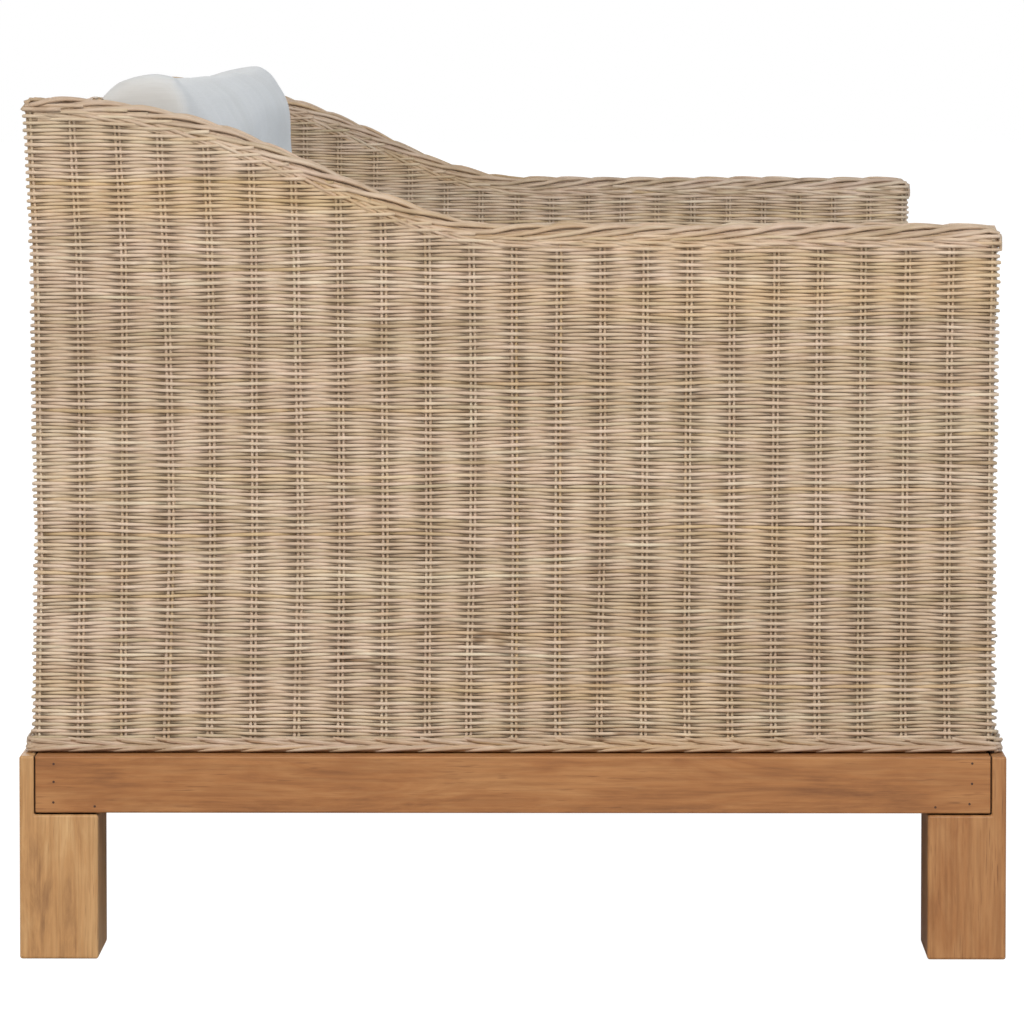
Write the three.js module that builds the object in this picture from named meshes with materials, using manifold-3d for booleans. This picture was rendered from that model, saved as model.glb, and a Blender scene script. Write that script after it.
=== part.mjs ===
import * as THREE from "three";
import { mergeVertices } from "three/addons/utils/BufferGeometryUtils.js";
import Module from "manifold-3d";

// A daybed: a wooden base, a woven rattan body on a pole frame, a mattress and one long back cushion.
// Millimetres, +Z up. X runs along the seat, the front faces -Y, and z = 0 is the floor under the middle.

// Overall
const length = 2000;
const depth = 880;
const baseTop = 182;
const backTop = 769;
const armTop = 652;
const seatTop = 431;
const cushionTop = 790;

// Base
const legAlong = 130;
const legAcross = 70;
const railHeight = 51;
const railThickness = 80;
const legStrip = 13.5;
const legWeb = 15;
const bearerWidth = 45;
const bearerHeight = 42;
const bearerSpacing = 460;
const blockLeg = 60;
const blockHeight = 38;

// Woven body: insets from the base, measured at the foot and at the top of each face
const endInset = 30;
const frontFootInset = 9;
const frontTopInset = 3.5;
const backFootInset = 11;
const backTopInset = 2;
const endWall = 66;
const backWall = 70;
const skin = 6;
const borderHeight = 15;
const borderOverhang = 2;
const backDip = 13;
const braidHeight = 14;
const braidDepth = 5.7;
const armNose = 12;
const noseTurns = 4;

// Arm line, from the back's level top down to the arm's level top
const armLevelBack = 40;
const armShoulder = 160;
const armKnee = 270;
const armRun = 380;
const shoulderDrop = 4;
const kneeRise = 10.5;
const armSteps = 18;

// Pole frame, slats and soft parts
const poleRadius = 14;
const poleSides = 12;
const poleSteps = 40;
const slatTop = 300;
const slatThickness = 14;
const slatWidth = 70;
const slatCount = 7;
const slatEndGap = 60;
const beamWidth = 40;
const frontPoleGap = 3;
const cushionThickness = 80;
const cushionFootThickness = 115;
const softRound = 22;
const softGap = 5;

// Clearances
const touch = 0.3;
const rest = 1;
const jointShadow = 1.5;
const frameGap = 3;

const wasm = await Module();
wasm.setup();

const wood = new THREE.MeshStandardMaterial({ color: 0xa9743f, roughness: 0.5, metalness: 0 });
const poleCane = new THREE.MeshStandardMaterial({ color: 0xb08d5c, roughness: 0.6, metalness: 0 });
const weave = new THREE.MeshStandardMaterial({ color: 0xc0a27c, roughness: 0.65, metalness: 0 });
const cloth = new THREE.MeshStandardMaterial({ color: 0xdcdad4, roughness: 0.95, metalness: 0 });

const daybed = new THREE.Group();

function add(name, geometry, material) {
  const mesh = new THREE.Mesh(geometry, material);
  mesh.name = name;
  daybed.add(mesh);
  return mesh;
}

// Positions shared by the pieces
const endX = length / 2 - endInset;
const endInnerX = endX - endWall;
const railInnerX = length / 2 - railThickness;
const railInnerY = depth / 2 - railThickness;
const railBottom = baseTop - railHeight;
const bodyFoot = baseTop + touch;
const backInnerY = depth / 2 - backTopInset - backWall;
const wallPoleX = (endX + endInnerX) / 2;
const backPoleY = (backInnerY + depth / 2 - backFootInset) / 2;
const frontPoleY = -depth / 2 + frontFootInset + skin + frontPoleGap + poleRadius;
const backBorderFoot = backTop - backDip - borderHeight;
const topPoleZ = backBorderFoot - frameGap - poleRadius;
const seatPoleZ = slatTop - slatThickness - touch - poleRadius;
const seatPoleTop = seatPoleZ + poleRadius;

// The front and back faces of the body lean out a little as they rise.
function frontY(z, inside = 0) {
  const rise = (z - baseTop) / (armTop - baseTop);
  return -depth / 2 + frontFootInset + (frontTopInset - frontFootInset) * rise + inside;
}

function backY(z, inside = 0) {
  const rise = (z - baseTop) / (backTop - baseTop);
  return depth / 2 - backFootInset + (backFootInset - backTopInset) * rise - inside;
}

function box(x0, x1, y0, y1, z0, z1) {
  const geometry = new THREE.BoxGeometry(x1 - x0, y1 - y0, z1 - z0);
  return geometry.translate((x0 + x1) / 2, (y0 + y1) / 2, (z0 + z1) / 2);
}

// An outline in Y and Z, drawn out along X.
function prismAlongX(outline, x0, x1) {
  const shape = outline instanceof THREE.Shape ? outline : new THREE.Shape(outline);
  const settings = { depth: x1 - x0, bevelEnabled: false, curveSegments: 5 };
  const geometry = new THREE.ExtrudeGeometry(shape, settings);
  const turn = new THREE.Matrix4().makeBasis(
    new THREE.Vector3(0, 1, 0),
    new THREE.Vector3(0, 0, 1),
    new THREE.Vector3(1, 0, 0),
  );
  return geometry.applyMatrix4(turn).translate(x0, 0, 0);
}

function pole(from, to, radius = poleRadius) {
  const start = new THREE.Vector3(...from);
  const run = new THREE.Vector3(...to).sub(start);
  const geometry = new THREE.CylinderGeometry(radius, radius, run.length(), poleSides);
  const turn = new THREE.Quaternion().setFromUnitVectors(
    new THREE.Vector3(0, 1, 0),
    run.clone().normalize(),
  );
  const middle = start.add(run.multiplyScalar(0.5));
  return geometry.applyQuaternion(turn).translate(middle.x, middle.y, middle.z);
}

function toSolid(geometry) {
  const plain = geometry.clone();
  plain.deleteAttribute("normal");
  plain.deleteAttribute("uv");
  const merged = mergeVertices(plain, 1e-4);
  return new wasm.Manifold(
    new wasm.Mesh({
      numProp: 3,
      vertProperties: merged.attributes.position.array,
      triVerts: new Uint32Array(merged.index.array),
    }),
  );
}

function cut(geometry, ...tools) {
  const left = tools.reduce((solid, tool) => solid.subtract(toSolid(tool)), toSolid(geometry));
  const mesh = left.getMesh();
  const result = new THREE.BufferGeometry();
  result.setAttribute("position", new THREE.BufferAttribute(mesh.vertProperties, 3));
  result.setIndex(new THREE.BufferAttribute(mesh.triVerts, 1));
  return result;
}

// An outline in X and Z, drawn out along Y.
function prismAlongY(outline, y0, y1) {
  const shape = new THREE.Shape(outline);
  const geometry = new THREE.ExtrudeGeometry(shape, { depth: y1 - y0, bevelEnabled: false });
  return geometry.rotateX(Math.PI / 2).translate(0, y1, 0);
}

// A span on the left or right side, given its distances from the middle.
function sideSpan(side, inner, outer) {
  return side < 0 ? [-outer, -inner] : [inner, outer];
}

// Points of the arm's top line from back to front, in Y and Z, lowered by a drop.
function armLine(drop) {
  const start = backY(backTop);
  const curve = new THREE.CubicBezierCurve(
    new THREE.Vector2(start - armLevelBack, backTop - drop),
    new THREE.Vector2(start - armLevelBack - armShoulder, backTop - shoulderDrop - drop),
    new THREE.Vector2(start - armLevelBack - armKnee, armTop + kneeRise - drop),
    new THREE.Vector2(start - armLevelBack - armRun, armTop - drop),
  );
  return curve.getPoints(armSteps);
}

// The same line, starting at a given Y instead of at its level back end.
function armLineFrom(startY, drop) {
  const points = [new THREE.Vector2(startY + 1, backTop - drop), ...armLine(drop)];
  const next = points.findIndex((p) => p.x < startY);
  const before = points[next - 1];
  const share = (before.x - startY) / (before.x - points[next].x);
  return [before.clone().lerp(points[next], share), ...points.slice(next)];
}

const sides = { left: -1, right: 1 };
const ends = { front: -1, rear: 1 };

// Legs: a block with one pocket for the end rail and one for the long rail.
function addLegs() {
  const pocketFloor = railBottom - jointShadow;
  for (const [endName, end] of Object.entries(ends)) {
    for (const [sideName, side] of Object.entries(sides)) {
      const [x0, x1] = sideSpan(side, length / 2 - legAlong, length / 2);
      const [y0, y1] = sideSpan(end, depth / 2 - legAcross, depth / 2);
      const [ex0, ex1] = sideSpan(side, railInnerX - touch, length / 2 + 1);
      const [ey0, ey1] = sideSpan(end, depth / 2 - legAcross - 1, depth / 2 - legStrip);
      const [lx0, lx1] = sideSpan(side, length / 2 - legAlong - 1, railInnerX - touch - legWeb);
      const [ly0, ly1] = sideSpan(end, depth / 2 - legAcross - 1, depth / 2 + 1);
      const endPocket = box(ex0, ex1, ey0, ey1, pocketFloor, baseTop + 1);
      const longPocket = box(lx0, lx1, ly0, ly1, pocketFloor, baseTop + 1);
      const block = box(x0, x1, y0, y1, 0, baseTop);
      add(`leg_${endName}_${sideName}`, cut(block, endPocket, longPocket), wood);
    }
  }
}

function addRails() {
  const endReach = depth / 2 - legStrip - touch;
  for (const [name, side] of Object.entries(sides)) {
    const [x0, x1] = sideSpan(side, railInnerX, length / 2);
    add(`end_rail_${name}`, box(x0, x1, -endReach, endReach, railBottom, baseTop), wood);
  }
  const longReach = railInnerX - legWeb - 2 * touch;
  for (const [name, end] of Object.entries(ends)) {
    const [y0, y1] = sideSpan(end, railInnerY, depth / 2);
    add(`long_rail_${name}`, box(-longReach, longReach, y0, y1, railBottom, baseTop), wood);
  }
}

function addBearers() {
  const reach = railInnerY - touch;
  const names = ["left", "middle", "right"];
  names.forEach((name, i) => {
    const x = (i - 1) * bearerSpacing;
    const x0 = x - bearerWidth / 2;
    const geometry = box(x0, x0 + bearerWidth, -reach, reach, baseTop - bearerHeight, baseTop);
    add(`cross_bearer_${name}`, geometry, wood);
    const propTop = seatPoleTop - 2 * poleRadius - touch;
    add(`seat_prop_${name}`, pole([x, 0, bodyFoot], [x, 0, propTop]), poleCane);
  });
}

// Corner blocks: the gap stops them touching the legs and both rails.
function addCornerBlocks() {
  for (const [endName, end] of Object.entries(ends)) {
    for (const [sideName, side] of Object.entries(sides)) {
      const corner = new THREE.Vector2(side * (railInnerX - touch), end * (railInnerY - touch));
      const alongX = new THREE.Vector2(corner.x - side * blockLeg, corner.y);
      const alongY = new THREE.Vector2(corner.x, corner.y - end * blockLeg);
      const shape = new THREE.Shape([corner, alongX, alongY]);
      const geometry = new THREE.ExtrudeGeometry(shape, { depth: blockHeight, bevelEnabled: false });
      geometry.translate(0, 0, baseTop - frameGap - blockHeight);
      add(`corner_block_${endName}_${sideName}`, geometry, wood);
    }
  }
}

function addPosts() {
  const armPoleTop = armTop - borderHeight - frameGap;
  const tops = { front: armPoleTop - 2 * poleRadius - touch, rear: topPoleZ - poleRadius - touch };
  const places = { front: frontPoleY, rear: backPoleY };
  for (const endName of Object.keys(ends)) {
    for (const [sideName, side] of Object.entries(sides)) {
      const foot = [side * wallPoleX, places[endName], bodyFoot];
      const head = [side * wallPoleX, places[endName], tops[endName]];
      add(`post_${endName}_${sideName}`, pole(foot, head), poleCane);
    }
  }
}

// Each arm pole is one bent pole that follows the arm line from the back's top pole to past the front post.
function addArmPoles() {
  const drop = borderHeight + frameGap + poleRadius;
  const rear = backPoleY - poleRadius - frameGap;
  const line = armLineFrom(rear, drop);
  const circle = new THREE.Shape().absarc(0, 0, poleRadius, 0, 2 * Math.PI, false);
  for (const [name, side] of Object.entries(sides)) {
    const points = [
      ...line.map((p) => new THREE.Vector3(side * wallPoleX, p.x, p.y)),
      new THREE.Vector3(side * wallPoleX, frontPoleY - poleRadius, armTop - drop),
    ];
    const path = new THREE.CurvePath();
    points.slice(1).forEach((p, i) => path.add(new THREE.LineCurve3(points[i], p)));
    const spaced = path.getSpacedPoints(poleSteps);
    const smooth = new THREE.CatmullRomCurve3(spaced, false, "centripetal");
    const bend = { steps: poleSteps, curveSegments: poleSides / 2 };
    const settings = { ...bend, bevelEnabled: false, extrudePath: smooth };
    add(`arm_pole_${name}`, new THREE.ExtrudeGeometry(circle, settings), poleCane);
  }
}

function addPoles() {
  const overPosts = wallPoleX + poleRadius;
  add("back_top_pole", pole([-overPosts, backPoleY, topPoleZ], [overPosts, backPoleY, topPoleZ]), poleCane);
  const reach = wallPoleX - poleRadius - touch;
  const sillZ = bodyFoot + poleRadius;
  for (const [kind, z] of [["sill", sillZ], ["seat", seatPoleZ]]) {
    for (const [name, y] of [["front", frontPoleY], ["rear", backPoleY]]) {
      add(`${kind}_pole_${name}`, pole([-reach, y, z], [reach, y, z]), poleCane);
    }
    for (const [name, side] of Object.entries(sides)) {
      const from = [side * wallPoleX, frontPoleY + poleRadius + touch, z];
      const to = [side * wallPoleX, backPoleY - poleRadius - touch, z];
      add(`${kind}_pole_${name}`, pole(from, to), poleCane);
    }
  }
  const beamZ = seatPoleTop - 2 * poleRadius;
  add("seat_beam", box(-reach, reach, -beamWidth / 2, beamWidth / 2, beamZ, seatPoleTop), wood);
}

function addSlats() {
  const span = 2 * (endInnerX - slatEndGap) - slatWidth;
  const pitch = span / (slatCount - 1);
  const y0 = frontPoleY - poleRadius / 2;
  const y1 = backPoleY + poleRadius / 2;
  for (let i = 0; i < slatCount; i++) {
    const x = -span / 2 + i * pitch;
    const geometry = box(x - slatWidth / 2, x + slatWidth / 2, y0, y1, slatTop - slatThickness, slatTop);
    add(`slat_${i + 1}`, geometry, wood);
  }
}

// End panels: the outer one covers the whole end, the inner one starts above the seat poles.
function endOutline(foot, front, back) {
  return [
    new THREE.Vector2(back(foot), foot),
    ...armLineFrom(back(backTop), borderHeight + touch),
    new THREE.Vector2(front(armTop), armTop - borderHeight - touch),
    new THREE.Vector2(front(foot), foot),
  ];
}

function addEndPanels() {
  const outer = endOutline(bodyFoot, (z) => frontY(z), (z) => backY(z));
  const innerFront = (z) => frontY(z, skin + touch);
  const inner = endOutline(seatPoleTop + touch, innerFront, () => backInnerY + skin);
  for (const [name, side] of Object.entries(sides)) {
    add(`end_weave_outer_${name}`, prismAlongX(outer, ...sideSpan(side, endX - skin, endX)), weave);
    const innerSpan = sideSpan(side, endInnerX, endInnerX + skin);
    add(`end_weave_inner_${name}`, prismAlongX(inner, ...innerSpan), weave);
  }
}

// A leaning skin between two heights: y gives the face's place at a height and a depth inside it.
function leaningSkin(y, z0, z1, x0, x1) {
  const outline = [
    new THREE.Vector2(y(z0, 0), z0),
    new THREE.Vector2(y(z1, 0), z1),
    new THREE.Vector2(y(z1, skin), z1),
    new THREE.Vector2(y(z0, skin), z0),
  ];
  const turned = y(z0, skin) > y(z0, 0) ? outline : [...outline].reverse();
  return prismAlongX(turned.reverse(), x0, x1);
}

function addFrontAndBack() {
  const armTopWeave = armTop - borderHeight - touch;
  const backTopWeave = backBorderFoot - touch;
  const outerReach = endX - skin - touch;
  for (const [name, side] of Object.entries(sides)) {
    const [x0, x1] = sideSpan(side, endInnerX, outerReach);
    add(`arm_front_${name}`, leaningSkin(frontY, bodyFoot, armTopWeave, x0, x1), weave);
  }
  const apronReach = endInnerX - touch;
  add("front_apron", leaningSkin(frontY, bodyFoot, slatTop, -apronReach, apronReach), weave);
  add("back_weave_outer", leaningSkin(backY, bodyFoot, backTopWeave, -outerReach, outerReach), weave);
  const innerReach = endInnerX - borderOverhang - touch;
  const innerBack = box(-innerReach, innerReach, backInnerY, backInnerY + skin, slatTop + touch, backTopWeave);
  add("back_weave_inner", innerBack, weave);
}

// Borders: the thick plait over the arm line and over the back. The back's top dips a little in the middle.
function addBorders() {
  const line = armLine(0);
  const foot = armLine(borderHeight).reverse();
  const front = frontY(armTop);
  const back = backY(backTop);
  const nose = [];
  for (let i = 0; i <= noseTurns; i++) {
    const turn = (i / noseTurns) * (Math.PI / 2);
    nose.push(
      new THREE.Vector2(front + armNose * (1 - Math.sin(turn)), armTop - armNose * (1 - Math.cos(turn))),
    );
  }
  const outline = [
    new THREE.Vector2(back, backTop),
    ...line,
    ...nose,
    new THREE.Vector2(front, armTop - borderHeight),
    ...foot,
    new THREE.Vector2(back, backTop - borderHeight),
  ].reverse();
  for (const [name, side] of Object.entries(sides)) {
    const span = sideSpan(side, endInnerX - borderOverhang, endX + borderOverhang);
    add(`arm_border_${name}`, prismAlongX(outline, ...span), weave);
  }
  const reach = endInnerX - borderOverhang - touch;
  const dip = new THREE.QuadraticBezierCurve(
    new THREE.Vector2(reach, backTop),
    new THREE.Vector2(0, backTop - 2 * backDip),
    new THREE.Vector2(-reach, backTop),
  );
  const backOutline = [
    new THREE.Vector2(-reach, backBorderFoot),
    new THREE.Vector2(reach, backBorderFoot),
    ...dip.getPoints(armSteps),
  ];
  add("back_border", prismAlongY(backOutline, backInnerY - borderOverhang, back), weave);
}

// Foot braids: they lie on the base against the outside of the body.
function addFootBraids() {
  const top = bodyFoot + braidHeight;
  const frontFace = frontY(top) - touch;
  const backFace = backY(top) + touch;
  for (const [name, side] of Object.entries(sides)) {
    const [x0, x1] = sideSpan(side, endX + touch, endX + touch + braidDepth);
    const geometry = box(x0, x1, frontFace - braidDepth, backFace + braidDepth, bodyFoot, top);
    add(`foot_braid_${name}`, geometry, weave);
  }
  add("foot_braid_front", box(-endX, endX, frontFace - braidDepth, frontFace, bodyFoot, top), weave);
  add("foot_braid_rear", box(-endX, endX, backFace, backFace + braidDepth, bodyFoot, top), weave);
}

function addMattress() {
  const reach = endInnerX - softGap - softRound / 2;
  const y0 = frontY(seatTop, skin) + softRound / 2;
  const y1 = backInnerY - softGap - softRound / 2;
  const z0 = slatTop + rest;
  const shape = new THREE.Shape([
    new THREE.Vector2(-reach, y0),
    new THREE.Vector2(reach, y0),
    new THREE.Vector2(reach, y1),
    new THREE.Vector2(-reach, y1),
  ]);
  const rounding = { bevelSegments: 3, bevelThickness: softRound, bevelSize: softRound / 2 };
  const settings = { ...rounding, bevelEnabled: true };
  const geometry = new THREE.ExtrudeGeometry(shape, { ...settings, depth: seatTop - z0 - 2 * softRound });
  add("mattress", geometry.translate(0, 0, z0 + softRound), cloth);
}

// The back cushion is a wedge that stands on the mattress against the back.
function addBackCushion() {
  const rear = backInnerY - borderOverhang - softGap / 2;
  const foot = seatTop + rest;
  const shape = new THREE.Shape();
  shape.moveTo(rear, foot);
  shape.lineTo(rear, cushionTop - softRound);
  shape.quadraticCurveTo(rear, cushionTop, rear - softRound, cushionTop);
  shape.lineTo(rear - cushionThickness + softRound, cushionTop);
  const shoulder = cushionTop - softRound;
  shape.quadraticCurveTo(rear - cushionThickness, cushionTop, rear - cushionThickness - 1, shoulder);
  shape.lineTo(rear - cushionFootThickness, foot + softRound);
  shape.quadraticCurveTo(rear - cushionFootThickness, foot, rear - cushionFootThickness + softRound, foot);
  const reach = endInnerX - borderOverhang - 2 * softGap;
  add("back_cushion", prismAlongX(shape, -reach, reach), cloth);
}

addLegs();
addRails();
addBearers();
addCornerBlocks();
addPosts();
addArmPoles();
addPoles();
addSlats();
addEndPanels();
addFrontAndBack();
addBorders();
addFootBraids();
addMattress();
addBackCushion();

export default daybed;
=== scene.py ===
# Long rattan daybed on a hardwood base. Metres, in the frame's own axes:
# X along the seat, the front faces -Y, the floor is z = 0.
import math

import bmesh
import bpy
import numpy as np
from mathutils import Matrix, Vector, noise
from mathutils.bvhtree import BVHTree


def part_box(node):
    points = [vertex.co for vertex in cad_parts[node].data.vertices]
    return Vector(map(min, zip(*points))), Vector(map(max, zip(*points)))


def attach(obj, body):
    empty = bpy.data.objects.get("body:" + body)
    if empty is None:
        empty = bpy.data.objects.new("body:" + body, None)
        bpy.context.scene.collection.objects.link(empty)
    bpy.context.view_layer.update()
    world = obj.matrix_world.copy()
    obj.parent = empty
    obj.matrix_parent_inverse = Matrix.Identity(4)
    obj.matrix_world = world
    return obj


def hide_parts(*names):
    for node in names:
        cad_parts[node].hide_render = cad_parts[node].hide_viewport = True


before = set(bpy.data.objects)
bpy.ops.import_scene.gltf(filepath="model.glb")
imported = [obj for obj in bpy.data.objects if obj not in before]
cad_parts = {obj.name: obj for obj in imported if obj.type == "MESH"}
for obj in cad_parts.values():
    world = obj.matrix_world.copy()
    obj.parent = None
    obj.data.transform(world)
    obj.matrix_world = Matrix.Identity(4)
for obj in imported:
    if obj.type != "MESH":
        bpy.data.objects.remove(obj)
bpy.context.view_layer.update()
rng = np.random.default_rng(11)


def addObject(name, data):
    made = bpy.data.objects.new(name, data)
    bpy.context.scene.collection.objects.link(made)
    return made


def addBuilt(name, built):
    # the object of a finished bmesh
    data = bpy.data.meshes.new(name)
    built.to_mesh(data)
    built.free()
    return addObject(name, data)



# the camera stands off the left end of the daybed and looks along its length
cameraView = {
    "place": (-7.804, -0.053, 0.849),
    "focal": 269.6,
    "sensor": 36.0,
    "yaw": 0.451,
    "pitch": 3.774,
    "farthest": 60,
}


def makeCamera():
    data = bpy.data.cameras.new("camera")
    data.lens = cameraView["focal"]
    data.sensor_width = cameraView["sensor"]
    data.clip_end = cameraView["farthest"]
    camera = addObject("camera", data)
    yaw = math.radians(cameraView["yaw"])
    pitch = math.radians(cameraView["pitch"])
    look = Vector((math.cos(yaw) * math.cos(pitch), math.sin(yaw) * math.cos(pitch), -math.sin(pitch)))
    camera.location = cameraView["place"]
    camera.rotation_euler = look.to_track_quat("-Z", "Y").to_euler()
    bpy.context.scene.camera = camera


makeCamera()
print("camera set")


# shader maths
class Wire:
    # wraps an output so that sums on it add their Math nodes
    def __init__(self, finish, socket):
        self.finish = finish
        self.socket = socket

    def maths(self, operation, *values):
        return self.finish.node("Math", {"operation": operation}, dict(enumerate(values)))

    def __add__(self, other):
        return self.maths("ADD", self, other)

    def __radd__(self, other):
        return self.maths("ADD", other, self)

    def __sub__(self, other):
        return self.maths("SUBTRACT", self, other)

    def __rsub__(self, other):
        return self.maths("SUBTRACT", other, self)

    def __mul__(self, other):
        return self.maths("MULTIPLY", self, other)

    def __rmul__(self, other):
        return self.maths("MULTIPLY", other, self)

    def clamped(self):
        return self.maths("MINIMUM", self.maths("MAXIMUM", self, 0.0), 1.0)

    def past(self, start, steepness):
        # nothing up to the start, and from there up to 1
        return ((self - start) * steepness).clamped()


class Finish:
    # one material: a Principled shader and the nodes that feed it
    def __init__(self, name, constants):
        self.material = bpy.data.materials.new(name)
        self.material.use_nodes = True
        self.tree = self.material.node_tree
        self.shader = self.tree.nodes["Principled BSDF"]
        for socket, value in constants.items():
            self.shader.inputs[socket].default_value = value

    def node(self, kind, settings=None, inputs=None, output=0):
        made = self.tree.nodes.new("ShaderNode" + kind)
        for key, value in (settings or {}).items():
            if key == "stops":
                self.setStops(made.color_ramp, value)
            else:
                setattr(made, key, value)
        for key, value in (inputs or {}).items():
            self.plug(made.inputs[key], value)
        return Wire(self, made.outputs[output])

    def setStops(self, ramp, stops):
        while len(ramp.elements) < len(stops):
            ramp.elements.new(0.5)
        for element, (place, colour) in zip(ramp.elements, stops):
            element.position = place
            element.color = (*colour, 1.0)

    def plug(self, socket, value):
        if isinstance(value, Wire):
            self.tree.links.new(value.socket, socket)
        else:
            socket.default_value = value

    def feed(self, name, value):
        self.plug(self.shader.inputs[name], value)

    def mix(self, factor, first, second, blend="MIX"):
        settings = {"data_type": "RGBA", "blend_type": blend}
        return self.node("Mix", settings, {0: factor, 6: first, 7: second}, output=2)

    def paint(self, factor, under, colour):
        return self.mix(factor, under, opaque(colour))

    def multiply(self, factor, under, colour):
        return self.mix(factor, under, colour, "MULTIPLY")

    def axes(self, vector):
        parts = self.node("SeparateXYZ", {}, {0: vector}).socket.node
        return [Wire(self, parts.outputs[i]) for i in range(3)]

    def attribute(self, name):
        return self.node("Attribute", {"attribute_name": name}, output=2)

    def place(self, scale=(1, 1, 1), shift=(0, 0, 0)):
        where = self.node("TexCoord", output=3)
        return self.node("Mapping", {}, {"Vector": where, "Scale": scale, "Location": shift})

    def noise(self, vector, scale, detail=3.0, roughness=0.5, distortion=0.0):
        inputs = {"Vector": vector, "Scale": scale, "Detail": detail, "Roughness": roughness}
        inputs["Distortion"] = distortion
        return self.node("TexNoise", {}, inputs)

    def ramp(self, factor, stops):
        return self.node("ValToRGB", {"stops": stops}, {0: factor})

    def bump(self, height, strength, distance):
        inputs = {"Height": height, "Strength": strength, "Distance": distance}
        self.feed("Normal", self.node("Bump", {}, inputs))


def rgb(red, green, blue):
    # an sRGB colour of 0 to 255 as linear light
    def linear(value):
        value /= 255
        return value / 12.92 if value <= 0.04045 else ((value + 0.055) / 1.055) ** 2.4

    return (linear(red), linear(green), linear(blue))


def opaque(colour):
    return (*colour, 1.0)


# how far along its pattern a cane of tone 1 starts, in metres
patternStep = 7.0


# canes are round strands swept along their own paths
class Cane:
    def __init__(self, points, radius, tone):
        self.points = np.asarray(points, dtype=np.float32)
        self.radius = np.broadcast_to(np.asarray(radius, dtype=np.float32), (len(self.points),))
        self.tone = tone


def makeRing(sides):
    ring = bpy.data.curves.new("ring", "CURVE")
    spline = ring.splines.new("POLY")
    spline.points.add(sides - 1)
    spline.use_cyclic_u = True
    for i, point in enumerate(spline.points):
        turn = 2 * math.pi * i / sides
        point.co = (math.cos(turn), math.sin(turn), 0, 1)
    return bpy.data.objects.new("ring", ring)


def makeCanes(name, canes, sides=5):
    ring = makeRing(sides)
    curve = bpy.data.curves.new(name, "CURVE")
    curve.dimensions = "3D"
    curve.bevel_mode = "OBJECT"
    curve.bevel_object = ring
    curve.use_fill_caps = True
    curve.twist_mode = "MINIMUM"
    for cane in canes:
        count = len(cane.points)
        spline = curve.splines.new("POLY")
        spline.points.add(count - 1)
        homogeneous = np.ones((count, 4), dtype=np.float32)
        homogeneous[:, :3] = cane.points
        spline.points.foreach_set("co", homogeneous.ravel())
        spline.points.foreach_set("radius", np.ascontiguousarray(cane.radius))
        spline.use_smooth = True
    holder = addObject(name + "Curve", curve)
    swept = holder.evaluated_get(bpy.context.evaluated_depsgraph_get())
    mesh = bpy.data.meshes.new_from_object(swept)
    mesh.name = name
    storeTones(mesh, canes, sides)
    for used in (holder, ring):
        data = used.data
        bpy.data.objects.remove(used)
        bpy.data.curves.remove(data)
    mesh.materials.clear()
    sewn = bmesh.new()
    sewn.from_mesh(mesh)
    bmesh.ops.remove_doubles(sewn, verts=sewn.verts, dist=1e-6)
    sewn.to_mesh(mesh)
    sewn.free()
    return addObject(name, mesh)


def storeTones(mesh, canes, sides):
    # the sweep puts both caps of every cane first, last cane first, and then the walls in order
    def lengths(cane):
        steps = np.linalg.norm(np.diff(cane.points, axis=0), axis=1)
        return np.concatenate([[0.0], np.cumsum(steps)]) + cane.tone * patternStep

    capAlong = [along for cane in reversed(canes) for along in lengths(cane)[[-1, 0]]]
    capTone = [cane.tone for cane in reversed(canes) for _ in range(2)]
    wallAlong = np.concatenate([lengths(cane) for cane in canes])
    wallTone = np.concatenate([np.full(len(cane.points), cane.tone) for cane in canes])
    along = np.repeat(np.concatenate([capAlong, wallAlong]), sides)
    tone = np.repeat(np.concatenate([capTone, wallTone]), sides)
    for key, values in (("along", along), ("tone", tone)):
        layer = mesh.attributes.new(key, "FLOAT", "POINT")
        layer.data.foreach_set("value", values.astype(np.float32))


def finishPiece(piece, finish, body, slot, *nodes):
    if not piece.data.materials:
        piece.data.materials.append(finish.material)
    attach(piece, body)
    if nodes:
        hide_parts(*nodes)
    return piece


# the colours of the canes
caneColours = {
    "dark": rgb(158, 128, 96),
    "tan": rgb(192, 166, 137),
    "pale": rgb(214, 193, 166),
    "honey": rgb(198, 162, 112),
    "green": rgb(180, 168, 138),
    "rose": rgb(204, 175, 152),
    "scorched": rgb(112, 78, 48),
}


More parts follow.
